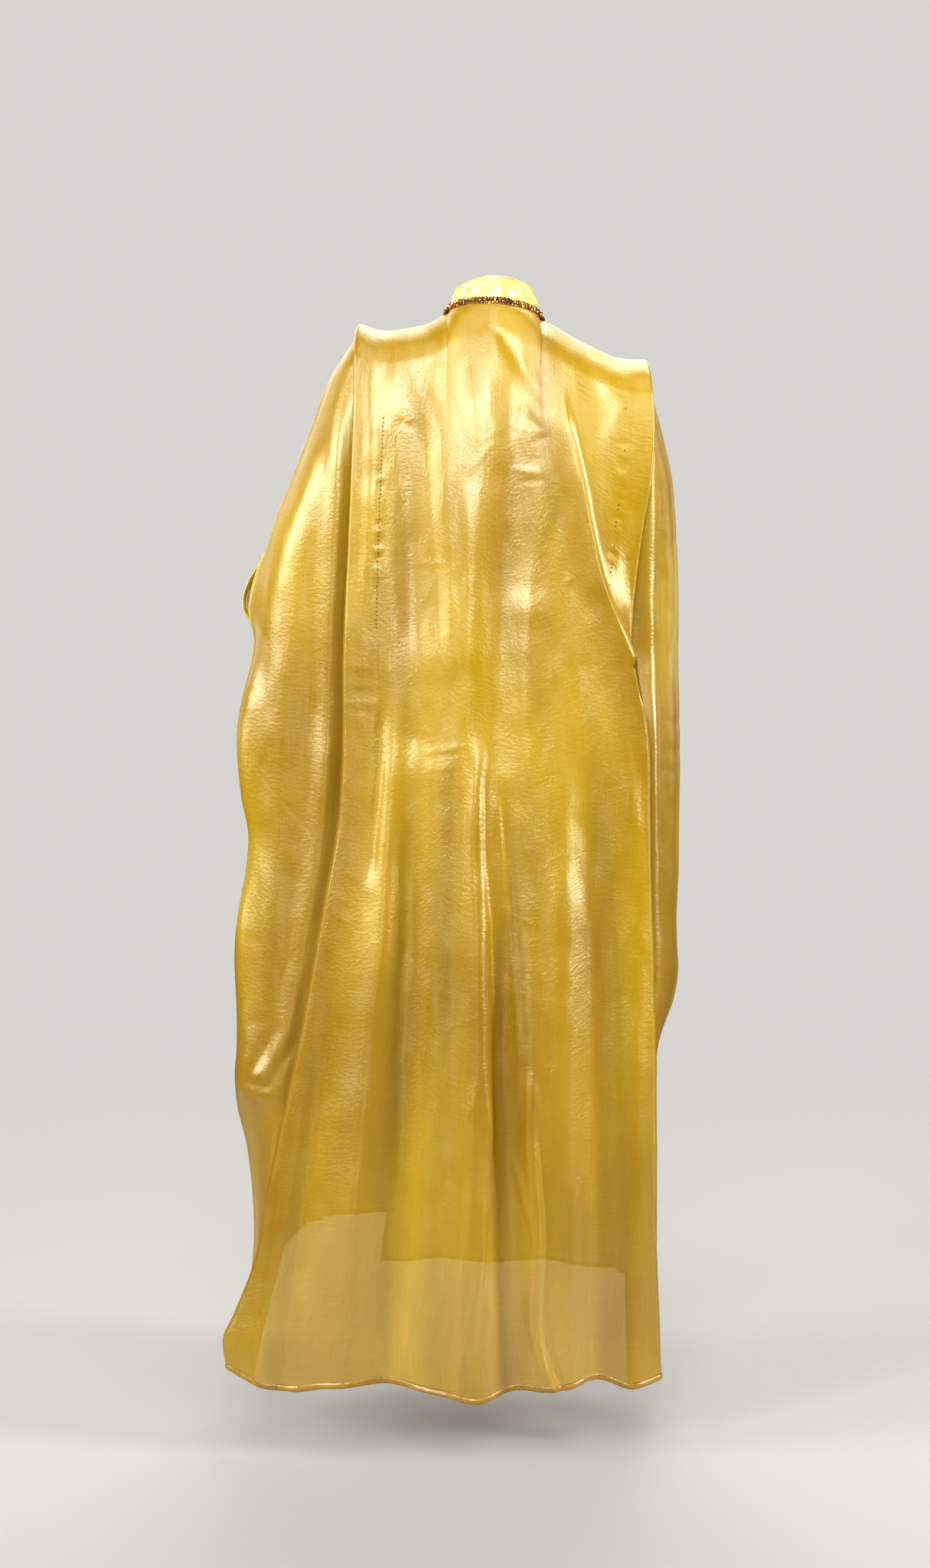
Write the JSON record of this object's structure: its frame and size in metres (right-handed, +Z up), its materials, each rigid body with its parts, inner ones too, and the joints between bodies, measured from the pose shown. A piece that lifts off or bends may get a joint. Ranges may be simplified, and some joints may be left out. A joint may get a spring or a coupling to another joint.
{
  "type": "kaftan",
  "caption": "Long sheer open-front kaftan with stand collar, folded shoulder tucks and batwing sleeves, worn shape, hollow.",
  "frame": {"origin": "base of the neck, level with the middle of the back neckline, centred between the front and back of the neck", "axes": "+Z up along the garment from hem to collar, -Y out of the front, +X towards the wearer's left"},
  "size_m": [0.659, 0.3968, 1.5854],
  "materials": {
    "organza": "satin",
    "collar_organza": "satin",
    "rolled_hem": "satin",
    "bead_trim": "gloss"
  },
  "bodies": {
    "root": {"back": "organza", "front_left": "organza", "front_right": "organza", "sleeve_left": "organza", "sleeve_right": "organza", "collar": "collar_organza", "neck_trim": "bead_trim", "hem_back": "rolled_hem", "hem_front_left": "rolled_hem", "hem_front_right": "rolled_hem", "hem_sleeve_left": "rolled_hem", "hem_sleeve_right": "rolled_hem", "cuff_left": "rolled_hem", "cuff_right": "rolled_hem"}
  },
  "joints": []
}
